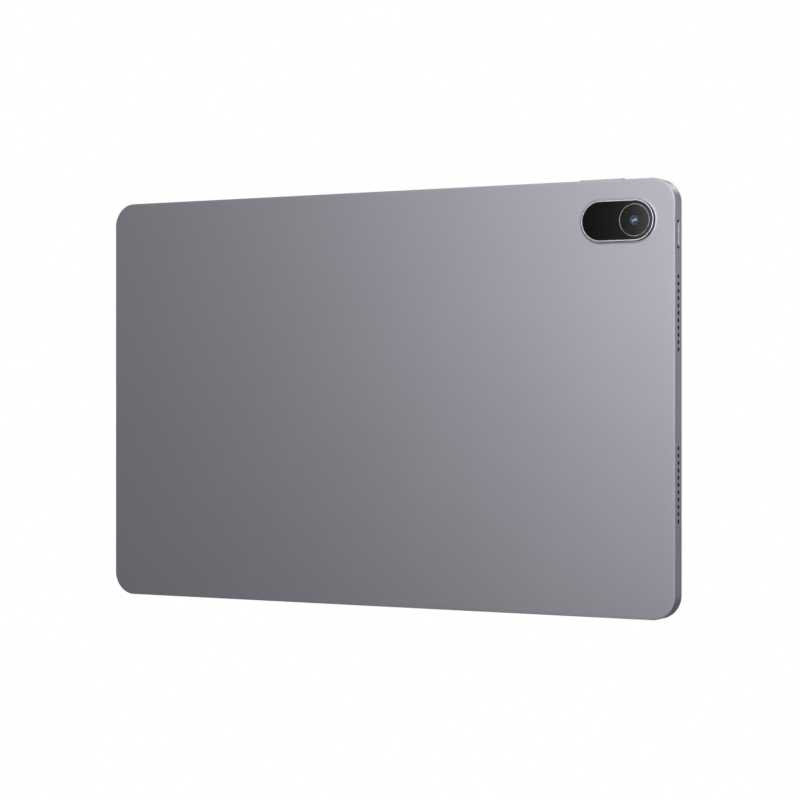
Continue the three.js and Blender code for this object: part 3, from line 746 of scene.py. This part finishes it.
def reflector():
    """White backlight film with its embossed dots."""
    look = Look("reflector", (0.82, 0.82, 0.8), roughness=0.45)
    dots = look.node(
        "ShaderNodeTexVoronoi",
        {"Vector": look.at, "Scale": 1 / (0.6 * MM), "Randomness": 0.2},
    ).outputs["Distance"]
    look.drive("Base Color", look.mix(dots, (0.86, 0.86, 0.84), (0.78, 0.78, 0.76)))
    look.bump(dots, 0.02)
    return look.material


def foam_tape():
    """Black foam adhesive with open cells."""
    look = Look("adhesive", (0.01, 0.01, 0.01), roughness=0.85)
    cells = look.node(
        "ShaderNodeTexVoronoi", {"Vector": look.at, "Scale": 1 / (0.18 * MM)}
    ).outputs["Distance"]
    look.drive("Base Color", look.mix(cells, (0.005, 0.005, 0.005), (0.018, 0.018, 0.018)))
    look.bump(cells, 0.05)
    return look.material


CASING = (0.262, 0.257, 0.288)
KEYS = (0.31, 0.305, 0.33)

LOOKS = {
    "casing_aluminium": anodised("casing_aluminium", CASING, 0.42, cut_edges_highlight_and_hole_shade=True),
    "key_aluminium": anodised("key_aluminium", KEYS, 0.42, painted_shade_ends=True),
    "polished_trim": polished(),
    "camera_glass": window_glass(),
    "coated_lens": lens_coating(),
    "cover_glass": front_glass(),
    "lcd_panel": panel_layers(),
    "reflector": reflector(),
    "black_plastic": moulded(),
    "socket_tongue": contacts(),
    "steel": brushed(),
    "speaker_mesh": woven_mesh(),
    "circuit_board": circuit_board(),
    "flex_circuit": flex_circuit(),
    "battery_pouch": battery_pouch(),
    "graphite": graphite_film(),
    "adhesive": foam_tape(),
}

# ---- Rear casing ------------------------------------------------------------------------


def casing_skin():
    """One closed skin: back face and plateau, side walls, rim, ledge and inside."""
    island = lambda r, y: (stadium(ISLAND_X, ISLAND_Z, ISLAND_HALF, r), y)
    plateau = turned(
        [
            (HOLE_R, SEAT_H),
            (LIP_R, SEAT_H, 0.03),
            (LIP_R, LIP_H, 0.03),
            (LIP_R + LIP_W, LIP_H, 0.5),
            (PLATEAU_R, 0, 1.5),
            (PLATEAU_FLAT, 0),
        ]
    )
    rings = [island(r, BACK_Y - h) for r, h in plateau]
    walls = turned(
        [
            (BACK_FLAT, BACK_Y),
            (BACK_CHAMFER, BACK_Y, 0.5),
            (0, BACK_Y + BACK_CHAMFER_DEPTH, 0.02),
            (0, RIM_Y, 0.1),
            (RIM_WALL, RIM_Y, 0.08),
            (RIM_WALL, LEDGE_Y),
        ]
    )
    rings += [(body_ring(inset), y) for inset, y in walls]
    rings.append((body_ring(SIDE_WALL), LEDGE_Y))
    rings.append((body_ring(SIDE_WALL), FLOOR_Y))
    rings.append(island(HOLE_R, FLOOR_Y))
    return loft(rings, closed=True)


def mouth(axis, ring, face, inner, flare=0.03):
    """A cutter that runs in from a face, with a small chamfer round its mouth."""
    out = 1 if face > inner else -1
    return [
        (ring(flare + BLEED), face + out * BLEED),
        (ring(0), face - out * flare),
        (ring(0), inner),
    ], axis


def screw_places():
    """Where each screw enters the casing: (x, z)."""
    for name in sorted(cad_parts):
        if name.startswith("screw_"):
            low, high = span(name)
            yield (low.x + high.x) / 2, (low.z + high.z) / 2


def casing_floor():
    """Screw bosses and the two ribs that hold the cells, standing on the casing's floor."""
    made = bmesh.new()
    top = span("main_board")[0].y - BOARD_GAP
    for x, z in screw_places():
        boss = turned(
            [
                (BOSS_FOOT_R, FLOOR_Y - SINK),
                (BOSS_R, FLOOR_Y + 0.2, 0.3),
                (BOSS_R, top, 0.1),
                (0.3, top),
            ]
        )
        loft([(circle(x, z, r), y) for r, y in boss], into=made)
    cells_low, cells_high = span("battery_cell_left")[0], span("battery_cell_right")[1]
    crest = FLOOR_Y + RIB_H
    rib = turned([(0, FLOOR_Y - SINK), (0, crest, 0.15), (0.25, crest)], steps=3)
    for z in (cells_low.z - 2 * RIB_W, cells_high.z + RIB_W):
        rings = []
        for inset, y in rib:
            near = (cells_low.x + inset, z + inset)
            far = (cells_high.x - inset, z + RIB_W - inset)
            rings.append((corners(*near, *far, 0.3 - inset, 4), y))
        loft(rings, into=made)
    return made


def casing_cutters():
    """Speaker holes, key slots, screw bores, and the socket's and microphone's openings."""
    cutters = bmesh.new()
    reach = SIDE_WALL + 2 * BLEED  # from the outside to the inner end of a cutter
    for side in (1, -1):
        for row in (1, -1):
            for k in range(HOLE_COUNT):
                z = MID_Z + row * SPEAKER_Z + (k - (HOLE_COUNT - 1) / 2) * HOLE_PITCH
                sections, axis = mouth(
                    "X",
                    lambda grow: circle(0, z, SPEAKER_R + grow),
                    side * SIDE_X,
                    side * (SIDE_X - reach),
                )
                loft(sections, axis, into=cutters)
    for sections, axis in (
        mouth(
            "X",
            lambda grow: stadium(KEY_Y, POWER_Z, POWER_SLOT_HALF, SLOT_R + grow, 8, True),
            SIDE_X,
            SIDE_X - reach,
        ),
        mouth(
            "Z",
            lambda grow: stadium(ROCKER_X, KEY_Y, ROCKER_SLOT_HALF, SLOT_R + grow, 8),
            HEIGHT,
            HEIGHT - reach,
        ),
        mouth(
            "X",
            lambda grow: stadium(
                USB_Y, MID_Z, USB_HALF, USB_R + USB_GAP + grow, 10, True
            ),
            -SIDE_X,
            reach - SIDE_X,
            USB_FLARE,
        ),
        mouth(
            "X",
            lambda grow: circle(KEY_Y, MIC_Z, MIC_R + grow, 20),
            -SIDE_X,
            reach - SIDE_X,
            MIC_FLARE,
        ),
    ):
        loft(sections, axis, into=cutters)
    for x, z in screw_places():
        bore = circle(x, z, BORE_R, 20)
        loft([(bore, FLOOR_Y + BORE_FLOOR), (bore, 0)], into=cutters)
    return cutters


piece(
    "rear_casing_skin",
    combined(
        combined(casing_skin(), casing_floor(), "UNION"), casing_cutters(), "DIFFERENCE"
    ),
    LOOKS["casing_aluminium"],
    ["rear_casing"],
)

# ---- Rear camera island -----------------------------------------------------------------


def island_loft(profile, closed=True):
    """A loft round the island from (radius, height above the back) points."""
    rings = [
        (stadium(ISLAND_X, ISLAND_Z, ISLAND_HALF, r), BACK_Y - h) for r, h in profile
    ]
    return loft(rings, closed=closed)


def revolved(profile, steps=48, closed=True):
    """A loft round the lens from (radius, height above the back) points."""
    rings = [(circle(LENS_X, ISLAND_Z, r, steps), BACK_Y - h) for r, h in profile]
    return loft(rings, closed=closed)


trim_seat = SEAT_H + 0.02
trim_mouth = WINDOW_R + 0.04
tail_end = BACK_Y - FLOOR_Y
trim_profile = turned(
    [
        (TRIM_R, trim_seat, 0.02),
        (TRIM_R - 0.12, TRIM_H, 0.12),
        (trim_mouth, TRIM_H, 0.06),
        (trim_mouth, SHELF_H),
        (TRIM_INNER_R, SHELF_H),
        (TRIM_INNER_R, tail_end),
        (TRIM_TAIL_R, tail_end),
        (TRIM_TAIL_R, trim_seat),
    ],
    closed=True,
    steps=5,
)
piece(
    "camera_trim",
    island_loft(trim_profile),
    LOOKS["polished_trim"],
    ["camera_trim_ring"],
)


def window_skin():
    """The pane, and the countersunk hole for the lens."""
    pane = turned(
        [
            (PANE_CAP_R, WINDOW_FOOT),
            (WINDOW_R, WINDOW_FOOT),
            (WINDOW_R, WINDOW_TOP, 0.1),
            (PANE_CAP_R, WINDOW_TOP),
        ]
    )
    sink = WINDOW_TOP - APERTURE_CHAMFER
    bore = [(APERTURE_R, 0), (APERTURE_R, sink), (APERTURE_R + BLEED, sink + BLEED)]
    return combined(
        island_loft(pane, closed=False), revolved(bore, closed=False), "DIFFERENCE"
    )


piece(
    "camera_window_pane",
    window_skin(),
    LOOKS["camera_glass"],
    ["camera_window"],
)

piece(
    "lens_ring",
    revolved(
        turned(
            [
                (RING_R, RING_BASE),
                (RING_R, RING_TOP, 0.01),
                (RING_R - RING_W, RING_TOP, 0.01),
                (RING_R - RING_W, RING_BASE),
            ],
            closed=True,
            steps=4,
        ),
        96,
    ),
    LOOKS["polished_trim"],
    ["lens_trim_ring"],
)


def lens_skin():
    """The dome of the front element, and the shallow black funnel round it."""
    low = WINDOW_TOP - DOME_SAG
    steps = 8
    dome = [
        (max(DOME_R * i / steps, 0.02), WINDOW_TOP - DOME_SAG * (i / steps) ** 2)
        for i in range(steps + 1)
    ]
    # A groove round the dome, then the funnel, then the lens's own edge.
    rim = [(DOME_R + 0.04, low - 0.02), (LENS_R - 0.07, low + 0.1), (LENS_R, low + 0.08)]
    foot = [(LENS_R, WINDOW_FOOT), (0.02, WINDOW_FOOT)]
    return revolved(dome + rim + foot, 64, closed=False)


piece("lens_dome", lens_skin(), LOOKS["coated_lens"], ["lens_glass"])

# ---- Keys -------------------------------------------------------------------------------


def key_skin(axis, ring, top, root, draft=0.0):
    """A key's cap: straight in the wall, and drawn in by its draft outside."""
    flank = [(0, top - KEY_PROUD, 0.2), (draft, top, 0.1)] if draft else [(0, top, 0.1)]
    profile = turned([(0, root), *flank, (KEY_R - 0.05, top)], steps=5)
    return loft([(ring(inset), depth) for inset, depth in profile], axis)


def power_skin():
    """The power key: its cap, the flange that keeps it in, and the switch's nub."""
    ring = lambda inset: stadium(KEY_Y, POWER_Z, POWER_HALF, KEY_R - inset, 10, True)
    cap = key_skin("X", ring, POWER_HIGH.x, POWER_ROOT_X, POWER_DRAFT)
    flange = block(
        *POWER_FLANGE_X, POWER_LOW.y, POWER_HIGH.y, POWER_LOW.z, POWER_HIGH.z,
        KEY_FLANGE_SOFT,
    )
    nub = circle(KEY_Y, POWER_Z, POWER_NUB_R)
    return joined(cap, flange, loft([(nub, x) for x in POWER_NUB_X], "X"))


def rocker_skin():
    """The volume rocker: its cap, its flange, and the nubs of its rest and two switches."""
    ring = lambda inset: stadium(ROCKER_X, KEY_Y, ROCKER_HALF, KEY_R - inset, 10)
    cap = key_skin("Z", ring, ROCKER_HIGH.z, ROCKER_ROOT_Z)
    flange = block(
        ROCKER_LOW.x, ROCKER_HIGH.x, ROCKER_LOW.y, ROCKER_HIGH.y, *ROCKER_FLANGE_Z,
        KEY_FLANGE_SOFT,
    )
    nubs = []
    for step in (-1, 0, 1):
        nub = circle(ROCKER_X + step * ROCKER_NUB_PITCH, KEY_Y, ROCKER_NUB_R)
        nubs.append(loft([(nub, z) for z in ROCKER_NUB_Z], "Z"))
    return joined(cap, flange, *nubs)


piece(
    "power_key_cap", power_skin(), LOOKS["key_aluminium"],
    ["power_button"], "power_key",
)
piece(
    "volume_key_cap", rocker_skin(), LOOKS["key_aluminium"],
    ["volume_rocker"], "volume_key",
)

# ---- Front and charging socket ----------------------------------------------------------

GLASS_LOW, GLASS_HIGH = span("cover_glass")
GLASS_INSET = SIDE_X - GLASS_HIGH.x
GLASS_FLAT = GLASS_INSET + 2  # where both faces of the glass are flat
glass_profile = turned(
    [
        (GLASS_FLAT, GLASS_LOW.y),
        (GLASS_INSET, GLASS_LOW.y, 0.05),
        (GLASS_INSET, FRONT_Y, 0.35),
        (GLASS_FLAT, FRONT_Y),
    ],
    steps=8,
)
piece(
    "front_glass",
    loft([(body_ring(inset), y) for inset, y in glass_profile]),
    LOOKS["cover_glass"],
    ["cover_glass"],
)


def socket_shell():
    """The socket's drawn steel tube, its mouth rounded."""
    ring = lambda r: stadium(USB_Y, MID_Z, USB_HALF, r, 12, True)
    inner_r = USB_R - USB_SHELL_WALL
    profile = turned(
        [
            (USB_R, USB_LOW.x, 0.1),
            (USB_R, USB_HIGH.x),
            (inner_r, USB_HIGH.x),
            (inner_r, USB_LOW.x, 0.15),
        ],
        closed=True,
        steps=4,
    )
    return loft([(ring(r), x) for r, x in profile], "X", closed=True)


piece("usb_shell", socket_shell(), LOOKS["steel"], ["usb_socket_shell"])


def tongue_skin():
    """The plug's tongue: a board with a softened nose, standing on a rounded block."""
    low, high = span("usb_socket_tongue")
    step = high.x - USB_ROOT
    nose = turned(
        [(0.05, low.x), (BLADE_T, low.x, 0.15), (BLADE_T, step + 0.1)], steps=4
    )
    rings = []
    for t, x in nose:
        w = BLADE_W - BLADE_T + t
        rings.append((corners(USB_Y - t, MID_Z - w, USB_Y + t, MID_Z + w, 0.04, 2), x))
    root_r = (high.y - low.y) / 2
    root_half = (high.z - low.z) / 2 - root_r
    root = [
        (stadium(USB_Y, MID_Z, root_half, r, 12, upright=True), x)
        for r, x in ((root_r - 0.1, step), (root_r, step + 0.1), (root_r, high.x))
    ]
    return joined(loft(rings, "X"), loft(root, "X"))


piece(
    "usb_tongue", tongue_skin(), LOOKS["socket_tongue"],
    ["usb_socket_tongue"],
)

# ---- CAD nodes that stay ----------------------------------------------------------------

KEPT = {
    "lcd_panel": ["lcd_panel"],
    "reflector": ["backlight_unit"],
    "black_plastic": [
        "display_frame", "rear_camera_barrel", "power_switch", "processor",
        "speaker_right_upper", "speaker_right_lower", "speaker_left_upper",
        "speaker_left_lower", "antenna_left", "antenna_right", "antenna_lead_left",
        "antenna_lead_right", "front_camera", "light_sensor",
    ],
    "steel": [
        "display_backplate", "rear_camera_housing", "power_bracket", "volume_bracket",
        "processor_shield", "power_shield", "radio_shield", "microphone",
    ],
    "speaker_mesh": [
        "speaker_mesh_right_upper", "speaker_mesh_right_lower",
        "speaker_mesh_left_upper", "speaker_mesh_left_lower",
    ],
    "circuit_board": [
        "main_board", "usb_board", "volume_switch_board", "battery_protection_board",
    ],
    "flex_circuit": [
        "rear_camera_flex", "board_link_flex", "battery_lead", "display_flex",
    ],
    "battery_pouch": ["battery_cell_left", "battery_cell_right"],
    "graphite": ["graphite_sheet"],
    "adhesive": ["display_adhesive"],
    "coated_lens": ["front_camera_lens"],
}
KEPT["steel"] += [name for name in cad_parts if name.startswith("screw_")]

for slot, names in KEPT.items():
    for name in names:
        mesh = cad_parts[name].data
        mesh.materials.clear()
        mesh.materials.append(LOOKS[slot])

# ---- Camera, floor and light ------------------------------------------------------------

# The camera stands level with the tablet's middle, to the right of its back. Its place,
# turn and lens were fitted to the perspective of the tablet's outline.
CAMERA_AT = (0.43481, -0.7759, 0.08152)
CAMERA_TURN = math.radians(28.771)
FOCAL_LENGTH = 100.94

camera_data = bpy.data.cameras.new("camera")
camera_data.lens = FOCAL_LENGTH
camera_data.sensor_width = 36
camera = bpy.data.objects.new("camera", camera_data)
camera.location = CAMERA_AT
camera.rotation_euler = (QUARTER, 0, CAMERA_TURN)
bpy.context.scene.collection.objects.link(camera)
bpy.context.scene.camera = camera


def studio_surface(kind, seen, lit):
    """A stage shader that is bright to the camera and dimmer as a light source."""
    kind.use_nodes = True
    tree = kind.node_tree
    tree.nodes.clear()
    world = isinstance(kind, bpy.types.World)
    kind_of_output = "ShaderNodeOutputWorld" if world else "ShaderNodeOutputMaterial"
    output = tree.nodes.new(kind_of_output)
    mix = tree.nodes.new("ShaderNodeMixShader")
    rays = tree.nodes.new("ShaderNodeLightPath")
    tree.links.new(rays.outputs["Is Camera Ray"], mix.inputs[0])
    tree.links.new(mix.outputs[0], output.inputs["Surface"])
    for socket, (node, color, strength) in ((2, seen), (1, lit)):
        shader = tree.nodes.new(node)
        shader.inputs["Color"].default_value = (*color, 1)
        if "Strength" in shader.inputs:
            shader.inputs["Strength"].default_value = strength
        tree.links.new(shader.outputs[0], mix.inputs[socket])


WORLD_LIGHT = 0.3
FLOOR_LIGHT = 0.25
FLOOR_REACH = 6.0

world = bpy.data.worlds.new("studio")
bpy.context.scene.world = world
studio_surface(
    world,
    ("ShaderNodeBackground", (1, 1, 1), 1.0),
    ("ShaderNodeBackground", (1, 1, 1), WORLD_LIGHT),
)

floor_mesh = bpy.data.meshes.new("floor")
floor_mesh.from_pydata(
    [
        (x * FLOOR_REACH, y * FLOOR_REACH, 0)
        for x, y in ((-1, -1), (1, -1), (1, 1), (-1, 1))
    ],
    [],
    [(0, 1, 2, 3)],
)
floor = bpy.data.objects.new("floor", floor_mesh)
bpy.context.scene.collection.objects.link(floor)
paint = bpy.data.materials.new("floor")
studio_surface(
    paint,
    ("ShaderNodeEmission", (1, 1, 1), 1.0),
    ("ShaderNodeEmission", (1, 1, 1), FLOOR_LIGHT),
)
floor_mesh.materials.append(paint)


def softbox(name, low, high, facing, radiance):
    """A flat area light between two corners, in metres, facing along an axis."""
    low, high = Vector(low), Vector(high)
    width, height = (high - low).xy.length, high.z - low.z
    data = bpy.data.lights.new(name, "AREA")
    data.shape = "RECTANGLE"
    data.size, data.size_y = width, height
    data.energy = math.pi * width * height * radiance
    light = bpy.data.objects.new(name, data)
    light.location = (low + high) / 2
    light.rotation_euler = Vector(facing).to_track_quat("-Z", "Y").to_euler()
    light.visible_camera = False
    bpy.context.scene.collection.objects.link(light)


# Each face of the tablet mirrors its own softboxes. Those named after the back stand side
# by side in two rows, and their differences make its soft shading.
BACK_LIGHTS_Y, FRONT_LIGHTS_Y = -1.65, 1.6
LEFT_LIGHTS_X, RIGHT_LIGHTS_X = -1.6, 1.5
LOW, HIGH = (0.02, 0.45), (0.45, 0.95)
TO_FRONT, TO_BACK, TO_LEFT, TO_RIGHT = (0, 1, 0), (0, -1, 0), (-1, 0, 0), (1, 0, 0)

for name, (x0, x1), (z0, z1), radiance in (
    ("back_left_high", (-1.05, -0.6), HIGH, 0.9),
    ("back_key_high", (-0.6, -0.2), HIGH, 5.6),
    ("back_edge_low", (-0.565, -0.53), LOW, 9.5),
    ("back_fill_low", (-0.53, -0.2), LOW, 2.5),
    ("back_key_low", (-0.2, 0.2), LOW, 10.5),
    ("back_middle_high", (-0.2, 0.2), HIGH, 2.9),
    ("back_right_low", (0.2, 0.6), LOW, 1.4),
):
    low, high = (x0, BACK_LIGHTS_Y, z0), (x1, BACK_LIGHTS_Y, z1)
    softbox(name, low, high, TO_FRONT, radiance)

for name, (y0, y1), radiance in (
    ("side_near", (-0.2, 0.6), 3.4),
    ("side_far", (0.6, 1.4), 6.2),
):
    low, high = (RIGHT_LIGHTS_X, y0, 0.04), (RIGHT_LIGHTS_X, y1, 0.7)
    softbox(name, low, high, TO_LEFT, radiance)

for name, (x0, x1), (z0, z1), radiance in (
    ("corner_gleam", (-0.12, 0.36), (0.62, 0.9), 5.7),
    ("front_fill", (-1.2, -0.3), (0.1, 1.0), 3.0),
):
    low, high = (x0, FRONT_LIGHTS_Y, z0), (x1, FRONT_LIGHTS_Y, z1)
    softbox(name, low, high, TO_BACK, radiance)

left_low, left_high = (LEFT_LIGHTS_X, -0.2, 0.1), (LEFT_LIGHTS_X, 1.0, 0.9)
softbox("left_fill", left_low, left_high, TO_RIGHT, 3.5)

bpy.context.scene.view_settings.view_transform = "Standard"
bpy.context.scene.view_settings.look = "None"
